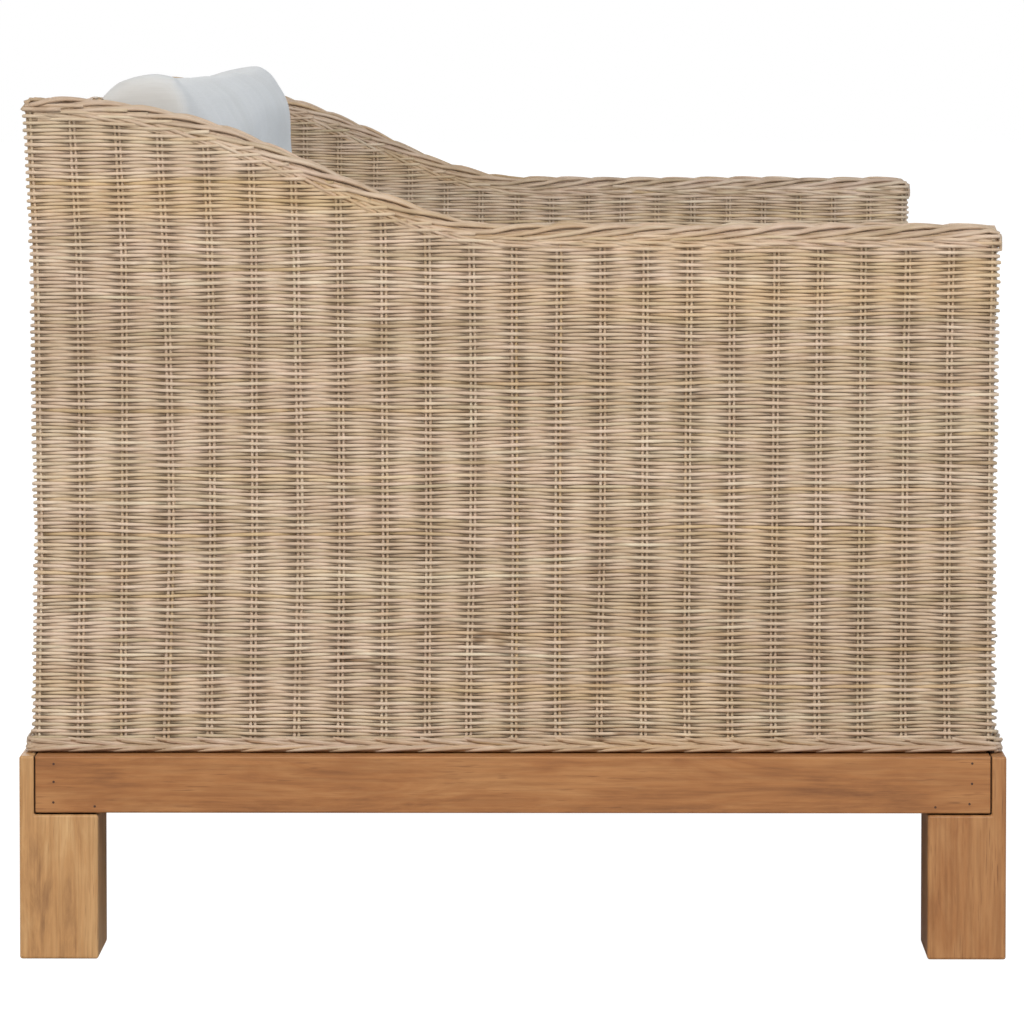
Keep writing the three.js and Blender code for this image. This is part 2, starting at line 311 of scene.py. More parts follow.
def makeRattan(name, lift):
    finish = Finish(name, {"Roughness": 0.62, "Specular IOR Level": 0.32})
    tone = finish.attribute("tone")
    along = finish.attribute("along")

    def alongCane(lengthwise, apart, shift=0.0):
        # a pattern that follows each cane, and differs from cane to cane
        return finish.node("CombineXYZ", {}, {"X": along * lengthwise, "Y": tone * apart, "Z": shift})

    streak = finish.noise(alongCane(6.0, 90.0), 1.0, detail=2.0, roughness=0.55)
    base = finish.ramp(
        streak * 0.8 + tone * 0.18 + 0.01,
        [
            (0.16, caneColours["dark"]),
            (0.36, caneColours["tan"]),
            (0.54, caneColours["rose"]),
            (0.74, caneColours["pale"]),
        ],
    )
    # honey and grey-green lengths run along whole canes
    family = finish.noise(alongCane(0.9, 310.0, 4.0), 1.0, detail=1.0)
    honey = family.past(0.58, 7.0)
    green = family.past(0.42, -7.0)
    colour = finish.paint(honey * 0.5, base, caneColours["honey"])
    colour = finish.paint(green * 0.3, colour, caneColours["green"])
    # small patches where neighbouring canes share a shade
    patch = finish.noise(finish.place((1.0, 1.0, 1.5)), 45.0, detail=1.0)
    patch = finish.ramp(patch, [(0.36, (0.84, 0.81, 0.77)), (0.64, (1, 1, 1))])
    colour = finish.multiply(1.0, colour, patch)
    # broad weathering over the panel, and a few scorched spots
    broad = finish.noise(finish.place((1.0, 1.0, 7.0)), 1.7, detail=2.0)
    colour = finish.paint(broad.past(0.5, 2.8) * 0.6, colour, caneColours["dark"])
    band = finish.noise(finish.place((0.7, 0.7, 8.0), (0.3, 5.2, 1.9)), 2.3, detail=2.0)
    colour = finish.paint(band.past(0.55, 6.0) * 0.4, colour, caneColours["honey"])
    colour = finish.paint(band.past(0.42, -6.0) * 0.35, colour, caneColours["pale"])
    burn = finish.noise(alongCane(24.0, 700.0), 1.0, detail=1.0).past(0.52, 9.0)
    spot = finish.noise(finish.place((1.0, 1.0, 2.4), (3.1, 1.7, 0.4)), 9.0, detail=1.0).past(0.68, 14.0)
    colour = finish.paint(burn * spot * 0.75, colour, caneColours["scorched"])
    fine = finish.noise(alongCane(60.0, 900.0), 1.0, detail=2.0)
    colour = finish.multiply(0.22, colour, finish.ramp(fine, [(0.3, (0.55, 0.5, 0.42)), (0.7, (1, 1, 1))]))
    colour = finish.multiply(1.0, colour, opaque(lift))
    finish.feed("Base Color", colour)
    finish.feed("Roughness", fine * 0.2 + 0.5)
    finish.bump(finish.noise(finish.place(), 900.0, detail=2.0), 0.25, 0.0004)
    return finish


rattan = makeRattan("rattanWeave", (1.14, 1.23, 1.27))
plait = makeRattan("rattanPlait", (1.02, 1.07, 1.11))

# sizes taken from the frame
box = {name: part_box(name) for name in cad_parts}
bodyFoot = box["foot_braid_front"][0][2]
braidTop = box["foot_braid_front"][1][2]
backTop = box["arm_border_left"][1][2]
armTop = box["arm_front_left"][1][2] + 0.0153
outerX = box["end_weave_outer_right"][1][0]
innerX = box["end_weave_inner_right"][0][0]
seatFoot = box["end_weave_inner_left"][0][2]
apronTop = box["front_apron"][1][2]
backInnerY = box["back_weave_inner"][0][1]
frontFootY = box["front_apron"][0][1]

weaving = {
    "skin": 0.006,
    "rowPitch": 0.00308,
    "caneRadius": 0.00183,
    "stakeRadius": 0.00155,
    "stakeGap": 0.00395,
    "cornerInset": 0.0008,
    "swing": 0.0026,
    "endStakes": 22,
    "backStakes": 48,
    "noseStakes": 2,
    "apronStakes": 44,
    "innerEndStakes": 20,
    "innerBackStakes": 45,
    "wobble": 0.0009,
    "stakeStep": 0.04,
    "lean": 0.0006,
    "tuck": 0.007,
    "backDip": 0.013,
}
armCurve = {"level": 0.040, "shoulder": 0.160, "knee": 0.270, "run": 0.380, "drop": 0.004, "rise": 0.0105}
half = weaving["skin"] / 2
backTopY = box["back_border"][1][1]
backFootY = box["foot_braid_rear"][0][1] - 0.0003
frontTopY = box["arm_border_left"][0][1]


def keyed(t, keys):
    times, values = zip(*keys)
    return np.interp(t, times, values)


def armLine(count=160):
    # the arm's top line from back to front, as Y and Z
    start = Vector((backTopY - armCurve["level"], backTop))
    corners = [
        start,
        Vector((start.x - armCurve["shoulder"], backTop - armCurve["drop"])),
        Vector((start.x - armCurve["knee"], armTop + armCurve["rise"])),
        Vector((start.x - armCurve["run"], armTop)),
    ]
    t = np.linspace(0, 1, count)[:, None]
    p = [np.array(corner) for corner in corners]
    bend = (1 - t) ** 3 * p[0] + 3 * (1 - t) ** 2 * t * p[1] + 3 * (1 - t) * t**2 * p[2] + t**3 * p[3]
    return np.vstack([[[backTopY, backTop]], bend, [[frontTopY, armTop]]])


armPoints = armLine()


def armHeight(y):
    return np.interp(y, armPoints[::-1, 0], armPoints[::-1, 1])


def backHeight(x):
    reach = innerX
    return backTop - weaving["backDip"] * np.clip(1 - (x / reach) ** 2, 0, 1)


# how far the weave draws in from a straight line between its foot and its top, by height
waist = {
    "front": ((0.18, 0.0015), (0.24, 0.0035), (0.55, 0.0045), (0.65, 0.0035)),
    "rear": ((0.18, 0.0), (0.24, 0.0015), (0.36, 0.0055), (0.62, 0.0068), (0.70, 0.0045), (0.77, 0.0020)),
}


def frontY(z):
    straight = frontFootY + (frontTopY - frontFootY) * (z - bodyFoot) / (armTop - bodyFoot)
    return straight + half + keyed(z, waist["front"])


def rearY(z):
    straight = backFootY + (backTopY - backFootY) * (z - bodyFoot) / (backTop - bodyFoot)
    return straight - half - keyed(z, waist["rear"])


def planCorners(z):
    # the middle of the woven skin in plan, at one height: inner left, round the outside, inner right
    front = frontY(z)
    rear = rearY(z)
    x = outerX - half
    inner = innerX + half
    insideRear = backInnerY + half
    return {
        "innerRearLeft": (-inner, insideRear),
        "innerFrontLeft": (-inner, front),
        "frontLeft": (-x, front),
        "rearLeft": (-x, rear),
        "rearRight": (x, rear),
        "frontRight": (x, front),
        "innerFrontRight": (inner, front),
        "innerRearRight": (inner, insideRear),
    }


# legs of the course round the body: from, to, stakes
courseLegs = {
    "innerLeft": ("innerRearLeft", "innerFrontLeft", weaving["innerEndStakes"]),
    "noseLeft": ("innerFrontLeft", "frontLeft", weaving["noseStakes"]),
    "endLeft": ("frontLeft", "rearLeft", weaving["endStakes"]),
    "back": ("rearLeft", "rearRight", weaving["backStakes"]),
    "endRight": ("rearRight", "frontRight", weaving["endStakes"]),
    "noseRight": ("frontRight", "innerFrontRight", weaving["noseStakes"]),
    "innerRight": ("innerFrontRight", "innerRearRight", weaving["innerEndStakes"]),
    "apron": ("innerFrontRight", "innerFrontLeft", weaving["apronStakes"]),
    "innerBack": ("innerRearRight", "innerRearLeft", weaving["innerBackStakes"]),
}
# how far a cane swings at each distance from a stake
swingNear = ((0.0, 1.0), (0.0042, 0.90), (0.0105, 0.50))
# at a corner the canes that pass outside stand out further, and those inside sink less
cornerSwing = {"out": 1.5, "in": 0.7}


def wobble(s, z):
    slow = np.sin(2 * math.pi * (s / 0.31 + z / 0.12) + 1.3)
    quick = np.sin(2 * math.pi * (s / 0.137 - z / 0.07) + 4.1)
    return weaving["wobble"] * (slow + 0.6 * quick)


def courseSamples(route, z, firstStake, coarse=False):
    # sample points of a course at one height: plan points, outward directions, swings and stake numbers
    corners = planCorners(z)
    near = swingNear[:1] + swingNear[2:] if coarse else swingNear
    places, outward, swings, travelled = [], [], [], []
    stake = firstStake
    s0 = 0.0
    for leg in route:
        fromName, toName, stakes = courseLegs[leg[0]]
        begin = np.array(corners[fromName])
        end = np.array(corners[toName])
        first, last = leg[1] if len(leg) > 1 else (0, stakes)
        run = np.linalg.norm(end - begin)
        along = (end - begin) / run
        out = np.array([-along[1], along[0]])
        pitch = run / stakes
        for i in range(first, last + 1):
            for side in (-1, 1):
                for distance, share in near if side > 0 else near[:0:-1]:
                    s = i * pitch + side * distance
                    if s < first * pitch - 1e-9 or s > last * pitch + 1e-9:
                        continue
                    places.append(begin + along * s)
                    outward.append(out)
                    swings.append(share if (stake + i - first) % 2 == 0 else -share)
                    travelled.append(s0 + s - first * pitch)
        stake += last - first
        s0 += (last - first) * pitch
    return np.array(places), np.array(outward), np.array(swings), np.array(travelled)


def mergeCorners(places, outward, swings, travelled):
    # two legs meet in one sample at the corner stake: keep it once, pushed out along both faces
    keep = np.ones(len(places), bool)
    corners = np.zeros(len(places), bool)
    for i in range(1, len(places)):
        if travelled[i] - travelled[i - 1] < 1e-7:
            keep[i] = False
            outward[i - 1] = outward[i - 1] + outward[i]
            corners[i - 1] = True
    return places[keep], outward[keep], swings[keep], travelled[keep], corners[keep]


def weaveRows(route, z0, z1, firstStake, topLimit, rowOffset=0, coarse=False):
    canes = []
    rows = int((z1 - z0) / weaving["rowPitch"])
    for row in range(rows):
        z = z0 + (row + 0.5) * weaving["rowPitch"]
        samples = courseSamples(route, z, firstStake, coarse)
        places, outward, swings, travelled, corners = mergeCorners(*samples)
        side = 1 if (row + rowOffset) % 2 == 0 else -1
        swings = swings * side
        swings[corners] *= np.where(swings[corners] > 0, cornerSwing["out"], cornerSwing["in"])
        swings[corners] *= rng.uniform(0.75, 1.15)
        flat = places + outward * (swings * weaving["swing"])[:, None]
        height = z + wobble(travelled, z)
        points = np.column_stack([flat, height])
        radius = weaving["caneRadius"] * rng.uniform(0.93, 1.03)
        swell = 1 + 0.05 * np.sin(travelled * rng.uniform(9, 20) + rng.uniform(0, 6))
        tone = rng.uniform(0, 1)
        below = height < topLimit(places)
        for run in np.split(np.arange(len(points)), np.flatnonzero(np.diff(below.astype(int))) + 1):
            if len(run) > 1 and below[run[0]]:
                canes.append(Cane(points[run], radius * swell[run], tone))
    return canes


def wallLimit(places):
    onBack = np.abs(places[:, 0]) < innerX - 0.001
    arm = armHeight(places[:, 1]) - weaving["tuck"]
    back = backHeight(places[:, 0]) - weaving["tuck"]
    return np.where(onBack & (places[:, 1] > backInnerY), back, arm)


def noLimit(places):
    return np.full(len(places), 10.0)


def weaveStakes(legName, z0, topLimit, first=0, last=None):
    canes = []
    fromName, toName, stakes = courseLegs[legName]
    for i in range(first, (stakes if last is None else last) + 1):
        share = i / stakes
        foot = planCorners(z0)
        start = np.array(foot[fromName]) * (1 - share) + np.array(foot[toName]) * share
        top = float(topLimit(start[None, :])[0])
        levels = np.linspace(z0, top, max(3, int((top - z0) / weaving["stakeStep"])))
        along = np.array(foot[toName]) - np.array(foot[fromName])
        along /= np.linalg.norm(along)
        inward = np.zeros(2)
        if legName in ("endLeft", "endRight") and i in (0, stakes):
            across = np.array([-along[1], along[0]])
            diagonal = along if i else -along
            inward = -(diagonal + across) * weaving["cornerInset"]
            along = (diagonal - across) * 0.6
        lean = rng.normal(0, weaving["lean"], 2)
        for side in (-0.5, 0.5):
            points = []
            for z in levels:
                plan = planCorners(z)
                centre = np.array(plan[fromName]) * (1 - share) + np.array(plan[toName]) * share
                drift = lean[0] * math.sin(z * 11 + i) + lean[1] * math.cos(z * 7 + i)
                flat = centre + inward + along * (side * weaving["stakeGap"] + drift)
                points.append((*flat, z))
            radius = weaving["stakeRadius"] * rng.uniform(0.93, 1.06)
            canes.append(Cane(points, radius, rng.uniform(0.2, 1)))
    return canes


def buildWalls():
    lowFoot = bodyFoot + 0.006
    top = backTop - 0.004
    # the same rows run on from the low course to the high one
    rowsLow = int((apronTop - lowFoot) / weaving["rowPitch"])
    split = lowFoot + rowsLow * weaving["rowPitch"]
    end = weaving["endStakes"]
    back = weaving["backStakes"]
    third = back // 3
    for side in ("left", "right"):
        if side == "left":
            route = [("noseLeft", (1, 2)), ("endLeft",), ("back", (0, 1))]
            first = 1
        else:
            route = [("back", (back - 1, back)), ("endRight",), ("noseRight", (0, 1))]
            first = 2 + end + back - 1
        rows = weaveRows(route, lowFoot, top, first, wallLimit)
        piece = makeCanes("endWeave" + side.capitalize(), rows)
        finishPiece(piece, rattan, "frame", "rattan_weave", "end_weave_outer_" + side)
    for i in range(3):
        route = [("back", (max(1, i * third), min(back - 1, (i + 1) * third)))]
        rows = weaveRows(route, lowFoot, top, 2 + end + route[0][1][0], wallLimit)
        piece = makeCanes("backWeave%d" % (i + 1), rows)
        finishPiece(piece, rattan, "frame", "rattan_weave", "back_weave_outer")
    print("outer weave made")
    route = [("noseRight", (1, 2)), ("apron",), ("noseLeft", (0, 1))]
    rows = weaveRows(route, lowFoot, split, 2 + end + back + end + 1, noLimit)
    piece = makeCanes("apronWeave", rows)
    finishPiece(piece, rattan, "frame", "rattan_weave", "front_apron")
    for side in ("left", "right"):
        if side == "left":
            route = [("innerLeft",), ("noseLeft", (0, 1))]
            first = -weaving["innerEndStakes"]
        else:
            route = [("noseRight", (1, 2)), ("innerRight",)]
            first = 2 + end + back + end + 1
        rows = weaveRows(route, split, top, first, wallLimit, rowOffset=rowsLow)
        piece = makeCanes("innerWeave" + side.capitalize(), rows)
        finishPiece(piece, rattan, "frame", "rattan_weave", "end_weave_inner_" + side, "arm_front_" + side)
    rows = weaveRows([("innerBack",)], split, top, 0, wallLimit, coarse=True)
    piece = makeCanes("innerBackWeave", rows, sides=4)
    finishPiece(piece, rattan, "frame", "rattan_weave", "back_weave_inner")
    print("inner weave made")


def buildStakes():
    low = bodyFoot + 0.004
    canes = []
    for leg in ("endLeft", "endRight", "back"):
        # the end walls already have the back's first and last stakes
        inner = (1, weaving["backStakes"] - 1) if leg == "back" else (0, None)
        canes += weaveStakes(leg, low, wallLimit, *inner)
    for leg in ("noseLeft", "noseRight"):
        canes += weaveStakes(leg, low, wallLimit, 1, 1)
    finishPiece(makeCanes("outerStakes", canes), rattan, "frame", "rattan_weave")
    canes = weaveStakes("apron", low, lambda places: np.full(len(places), apronTop - 0.003))
    for leg in ("innerLeft", "innerRight", "innerBack"):
        canes += weaveStakes(leg, seatFoot, wallLimit)
    finishPiece(makeCanes("innerStakes", canes), rattan, "frame", "rattan_weave")
    print("stakes made")


# the sheet behind the weave is painted shade: its colour is the shadow seen through the gaps between the
# canes
shadeSheet = {"colour": rgb(166, 134, 100), "inward": 0.0053, "share": 0.12}


def buildShadeSheets():
    # a thin sheet just behind each woven skin, so that nothing shows through; its flat colour is painted
    # shade, standing in for the shadow in the hollow behind the weave
    shade = Finish("weavePaintedShade", {"Base Color": opaque(shadeSheet["colour"]), "Roughness": 0.9})
    inward = shadeSheet["inward"]
    innerRear = backInnerY + half
    for name in (
        "end_weave_outer_left", "end_weave_outer_right", "end_weave_inner_left", "end_weave_inner_right",
        "back_weave_outer", "back_weave_inner", "front_apron", "arm_front_left", "arm_front_right",
    ):
        mesh = bmesh.new()
        mesh.from_mesh(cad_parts[name].data)
        bmesh.ops.remove_doubles(mesh, verts=mesh.verts, dist=1e-5)
        low, high = box[name]
        outer = "outer" in name
        for vertex in mesh.verts:
            x, y, z = vertex.co
            if name.startswith("end"):
                skin = (low[0] + high[0]) / 2
                centre = skin - math.copysign(inward, skin) * (1 if outer else -1)
                vertex.co.x = centre + (x - skin) * shadeSheet["share"]
                rearEnd = rearY(z) - inward if outer else innerRear + inward
                vertex.co.y = min(max(y, frontY(z) + inward), rearEnd)
            else:
                skin = frontY(z) if low[1] < 0 else rearY(z) if outer else innerRear
                centre = skin + (-inward if outer else inward)
                vertex.co.y = centre + math.copysign(half * shadeSheet["share"], y - skin)
                reach = outerX - half - inward
                vertex.co.x = min(max(x, -reach), reach)
        bmesh.ops.recalc_face_normals(mesh, faces=mesh.faces)
        finishPiece(addBuilt(name + "Backing", mesh), shade, "frame", "rattan_weave")


buildWalls()
buildStakes()
buildShadeSheets()


# plaited borders run along the tops of the walls
class Rail:
    # the line a border follows: how far it has run and its height, by distance along it
    def __init__(self, run, height):
        self.run = np.asarray(run)
        self.height = np.asarray(height)
        steps = np.hypot(np.diff(self.run), np.diff(self.height))
        self.distance = np.concatenate([[0.0], np.cumsum(steps)])
        self.length = self.distance[-1]

    def at(self, s):
        def place(where):
            return np.interp(where, self.distance, self.run), np.interp(where, self.distance, self.height)

        reach = 0.004
        middle = np.clip(s, reach, self.length - reach)
        run0, height0 = place(middle - reach)
        run1, height1 = place(middle + reach)
        size = np.hypot(run1 - run0, height1 - height0)
        return (*place(s), (run1 - run0) / size, (height1 - height0) / size)


def foldEnds(s, length, radius):
    # canes bend over the rounded ends: distance along, distance down, and turn
    over = np.maximum(s - (length - radius), 0) - np.maximum(radius - s, 0)
    turn = np.clip(np.abs(over) / radius, 0, math.pi / 2)
    along = np.clip(s, radius, length - radius) + np.sign(over) * radius * np.sin(turn)
    down = radius * (1 - np.cos(turn)) + np.maximum(np.abs(over) - radius * math.pi / 2, 0)
    return along, down, turn * np.sign(over)


def roundOver(u, radius):
    # a face that turns in to a level top: inset, height against the top, and tilt
    quarter = radius * math.pi / 2
    tilt = np.clip((u + quarter / 2) / radius, 0, math.pi / 2)
    inset = radius * (1 - np.cos(tilt)) + np.maximum(u - quarter / 2, 0)
    height = radius * (np.sin(tilt) - 1) + np.minimum(u + quarter / 2, 0)
    return inset, height, tilt


class Border:
    # one side of a wall's top: the way it runs, the way its face looks, and where that face is
    def __init__(self, rail, runWay, faceWay, face, starts, ends):
        self.rail = rail
        self.runWay = np.array(runWay, float)
        self.faceWay = np.array(faceWay, float)
        self.face = face
        self.reach = {"start": starts, "end": ends}

    def place(self, s, u, lift, overTop):
        along, down, turn = foldEnds(s, self.rail.length, border["endRadius"])
        run, height, slopeRun, slopeHeight = self.rail.at(along)
        inset, rise, tilt = roundOver(u, border["edgeRadius"])
        outward, upward = np.cos(tilt), np.sin(tilt)
        if overTop:
            forward = upward * np.sin(turn)
            upward = upward * np.cos(turn)
            rise = rise - down
        else:
            forward = outward * np.sin(turn)
            outward = outward * np.cos(turn)
            inset = inset + down
        climb = rise + lift * upward
        run = run - slopeHeight * climb + slopeRun * lift * forward
        height = height + slopeRun * climb + slopeHeight * lift * forward
        side = self.face - inset + lift * outward
        points = run[:, None] * self.runWay + side[:, None] * self.faceWay
        points[:, 2] = height
        return points

    def inReach(self, s, overTop):
        kind = 0 if overTop else 1
        return (s >= -self.reach["start"][kind]) & (s <= self.rail.length + self.reach["end"][kind])


border = {
    "pitch": 0.0395,
    "radius": 0.00185,
    "pair": 0.0019,
    "behind": 0.002,
    "scatter": 0.0012,
    "middle": -0.0070,
    "foot": -0.0132,
    "faceRun": 0.080,
    "topRun": 0.150,
    "topReach": 0.0345,
    "curl": 1.7,
    "edgeRadius": 0.0070,
    "endRadius": 0.0055,
    "upperLift": (
        (0, -0.0042), (0.07, 0.0), (0.2, 0.0008), (0.33, 0.0024), (0.42, 0.0046), (0.5, 0.0038),
        (0.62, 0.0008), (0.93, 0.0001), (1, -0.0026),
    ),
    "lowerLift": ((0, -0.0040), (0.1, 0.0002), (0.5, 0.0008), (0.72, 0.0001), (0.86, -0.0014), (1, -0.0042)),
    "split": ((0, 0.12), (0.25, 0.2), (0.5, 1.0), (1, 1.0)),
    "hidden": 0.0008,
    "noseFlat": 0.012,
    "noseTop": -0.0045,
    "coreSpacing": 0.0033,
    "coreLift": -0.0010,
    "inset": 0.0044,
    "sinkArm": 0.0024,
    "sinkBack": 0.0063,
}


def plaitBorder(edge):
    canes = []
    total = border["faceRun"] + border["topRun"]
    t = np.linspace(0, 1, 30)
    for k in range(int((edge.rail.length + total) / border["pitch"]) + 2):
        start = k * border["pitch"] - total + rng.normal(0, border["scatter"])
        bulge = rng.uniform(0.6, 1.15)
        tone = rng.uniform(0, 1)
        for side in (-1, 1):
            # the second cane of a pair hides behind the first until they part on the top
            radius = border["radius"] * rng.uniform(0.92, 1.06)
            s = start + t * total + side * border["behind"]
            apart = keyed(t, border["split"])
            climb = t ** border["curl"]
            u = border["middle"] + (border["topReach"] - border["middle"]) * climb
            u += side * border["pair"] * apart
            lift = keyed(t, border["upperLift"]) * bulge
            if side > 0:
                lift -= border["hidden"] * (1 - apart)
            edgeAt = np.interp(edge.rail.length, s, u)
            overTop = edgeAt > 0 if s[-1] > edge.rail.length else s[0] < 0 and np.interp(0, s, u) > 0
            if not overTop:
                u = np.where(s > edge.rail.length - border["noseFlat"], np.minimum(u, border["noseTop"]), u)
            addBorderCane(canes, edge, s, u, lift, bool(overTop), radius, (tone + 0.07 * side) % 1)
        s = start + total + t[::3] * border["faceRun"] * 0.95
        u = border["middle"] + (border["foot"] - border["middle"]) * t[::3]
        lift = keyed(t[::3], border["lowerLift"])
        addBorderCane(canes, edge, s, u, lift, False, border["radius"], rng.uniform(0, 1))
    u = border["foot"]
    while u < border["topReach"]:
        s = np.linspace(-0.03, edge.rail.length + 0.03, 70)
        lift = border["coreLift"] + 0.0003 * np.sin(s * 55 + u * 900)
        overTop = u > 0
        addBorderCane(canes, edge, s, np.full(len(s), u), lift, overTop, border["radius"], rng.uniform(0, 1))
        u += border["coreSpacing"]
    return canes


def addBorderCane(canes, edge, s, u, lift, overTop, radius, tone):
    kept = edge.inReach(s, overTop)
    if kept.sum() > 2:
        points = edge.place(s[kept], u[kept], lift[kept], overTop)
        canes.append(Cane(points, radius, tone))


def buildBorders():
    outer = box["arm_border_right"][1][0] - border["inset"]
    inner = box["arm_border_right"][0][0] + border["inset"]
    rise = (armPoints[:, 1] - armTop) / (backTop - armTop)
    sink = border["sinkArm"] + (border["sinkBack"] - border["sinkArm"]) * rise
    armRail = Rail(-armPoints[:, 0], armPoints[:, 1] - sink)
    armRail.run = np.clip(armRail.run, -backTopY + border["inset"], -frontTopY - border["inset"])
    tucked = (0.006, 0.0)
    wrapped = (0.016, 0.030)
    for side, name in ((-1, "left"), (1, "right")):
        canes = plaitBorder(Border(armRail, (0, -1, 0), (side, 0, 0), outer, tucked, wrapped))
        canes += plaitBorder(Border(armRail, (0, -1, 0), (-side, 0, 0), -inner, tucked, wrapped))
        piece = makeCanes("armBorder" + name.capitalize(), canes)
        finishPiece(piece, plait, "frame", "rattan_plait", "arm_border_" + name)
    x = np.linspace(-outer, outer, 90)
    outerRail = Rail(x, backHeight(x) - border["sinkBack"])
    cut = (-(outer - inner), 0.030)
    canes = plaitBorder(Border(outerRail, (-1, 0, 0), (0, 1, 0), backTopY - border["inset"], cut, cut))
    x = np.linspace(-inner, inner, 90)
    innerRail = Rail(x, backHeight(x) - border["sinkBack"])
    cut = (-0.001, -0.001)
    innerFace = -box["back_border"][0][1] - border["inset"]
    canes += plaitBorder(Border(innerRail, (-1, 0, 0), (0, -1, 0), innerFace, cut, cut))
    piece = makeCanes("backBorder", canes)
    finishPiece(piece, plait, "frame", "rattan_plait", "back_border")
    print("borders made")


buildBorders()


# the braid round the foot of the body
braid = {
    "corner": 0.004,
    "pitch": 0.0395,
    "upper": (0.058, 0.0058, -0.0006, -0.0014),
    "lower": (0.090, -0.0050, 0.0004, 0.0015),
    "radius": 0.00172,
    "bulge": 0.0022,
    "halfHeight": 0.0085,
    "behind": 0.003,
    "under": 0.0005,
    "cores": (-0.0045, -0.0015, 0.0015, 0.0045),
    "lift": ((0, -0.002), (0.1, 0.0010), (0.3, 0.0014), (0.7, 0.0), (1, -0.0034)),
    "core": 0.0002,
    "stand": 0.0026,
}


class Loop:
    # a rectangle with rounded corners in plan, travelled with its face on the left hand side
    def __init__(self, low, high, radius):
        points, normals = [], []
        turns = 7
        left, right = low[0] + radius, high[0] - radius
        front, rear = low[1] + radius, high[1] - radius
        for i, centre in enumerate(((left, front), (right, front), (right, rear), (left, rear))):
            centre = np.array(centre)
            for j in range(turns):
                angle = math.pi + math.pi / 2 * (i + j / (turns - 1))
                normal = np.array([math.cos(angle), math.sin(angle)])
                points.append(centre + radius * normal)
                normals.append(normal)
        self.points = np.array(points + points[:1])
        self.normals = np.array(normals + normals[:1])
        steps = np.linalg.norm(np.diff(self.points, axis=0), axis=1)
        self.distance = np.concatenate([[0.0], np.cumsum(steps)])
        self.length = self.distance[-1]

    def at(self, s):
        s = np.mod(s, self.length)
        place = [np.interp(s, self.distance, self.points[:, i]) for i in range(2)]
        normal = [np.interp(s, self.distance, self.normals[:, i]) for i in range(2)]
        return np.column_stack(place), np.column_stack(normal)


def buildBraid():
    stand = braid["stand"]
    low = (box["foot_braid_left"][1][0], box["foot_braid_front"][1][1] - stand)
    high = (box["foot_braid_right"][0][0], box["foot_braid_rear"][0][1] + stand)
    loop = Loop(low, high, braid["corner"])
    middle = (bodyFoot + braidTop) / 2
    count = round(loop.length / braid["pitch"])
    pitch = loop.length / count
    t = np.linspace(0, 1, 13)
    canes = []
    for k in range(count):
        for run, begin, end, pair in (braid["upper"], braid["lower"]):
            start = k * pitch + rng.normal(0, 0.0015)
            tone = rng.uniform(0, 1)
            for side in (0, 1):
                s = start + t * run + braid["behind"] * side
                v = begin + (end - begin) * t + side * pair * (1 - 0.3 * t)
                place, normal = loop.at(s)
                out = braid["bulge"] * np.sqrt(1 - (v / braid["halfHeight"]) ** 2)
                out = out + keyed(t, braid["lift"]) - braid["under"] * side
                flat = place + normal * out[:, None]
                tone = (tone + rng.uniform(-0.2, 0.2)) % 1
                radius = braid["radius"] * rng.uniform(0.95, 1.08)
                canes.append(Cane(np.column_stack([flat, middle + v]), radius, tone))
    for v in braid["cores"]:
        s = np.concatenate([loop.distance[:-1], np.arange(0, loop.length, 0.08)])
        place, normal = loop.at(np.unique(np.round(s, 4)))
        flat = place + normal * braid["core"]
        points = np.column_stack([flat, np.full(len(flat), middle + v)])
        canes.append(Cane(points, braid["radius"], rng.uniform(0, 1)))
    nodes = ["foot_braid_" + side for side in ("left", "right", "front", "rear")]
    finishPiece(makeCanes("footBraid", canes), plait, "frame", "rattan_plait", *nodes)
    print("foot braid made")


buildBraid()


# wood
woodColours = {
    "deep": rgb(112, 70, 38),
    "body": rgb(160, 108, 62),
    "light": rgb(182, 134, 86),
    "line": rgb(52, 28, 16),
}


def makeWood(name, along, shift, lift, joints=False, rough=0.5):
    # the grain runs along the axis numbered along
    finish = Finish(name, {"Roughness": rough, "Specular IOR Level": 0.4})

    def grain(lengthwise, across):
        scale = [across] * 3
        scale[along] = lengthwise
        return finish.place(tuple(scale), shift)

    broad = finish.noise(grain(1.3, 7.0), 1.0, detail=3.0, distortion=0.6)
    figure = finish.noise(grain(5.0, 34.0), 1.0, detail=6.0, roughness=0.66, distortion=2.2)
    mottle = finish.noise(grain(9.0, 20.0), 1.0, detail=4.0, roughness=0.6)
    fibre = finish.noise(grain(14.0, 380.0), 1.0, detail=3.0)
    pore = finish.noise(grain(36.0, 560.0), 1.0, detail=1.0)
    tone = broad * 0.36 + figure * 0.36 + mottle * 0.28
    stops = [(0.34, woodColours["deep"]), (0.47, woodColours["body"]), (0.62, woodColours["light"])]
    colour = finish.ramp(tone, stops)
    streak = finish.ramp(fibre, [(0.35, (0.72, 0.68, 0.64)), (0.6, (1, 1, 1))])
    colour = finish.multiply(0.6, colour, streak)
    dark = pore.past(0.62, 9.0) * mottle.past(0.40, 6.0)
    colour = finish.paint(dark * 0.6, colour, woodColours["deep"])
    knot = finish.noise(grain(3.0, 9.0), 1.0, detail=1.0, distortion=0.3)
    colour = finish.paint(knot.past(0.71, 9.0) * 0.6, colour, woodColours["deep"])
    colour = finish.multiply(1.0, colour, opaque(lift))
    if joints:
        colour = finish.paint(jointLines(finish) * 0.85, colour, woodColours["line"])
    finish.feed("Base Color", colour)
    finish.feed("Roughness", fibre * 0.25 + (rough - 0.1))
    finish.bump(fibre * 0.5 + pore * 0.3 + figure * 0.4, 0.35, 0.0006)
    return finish


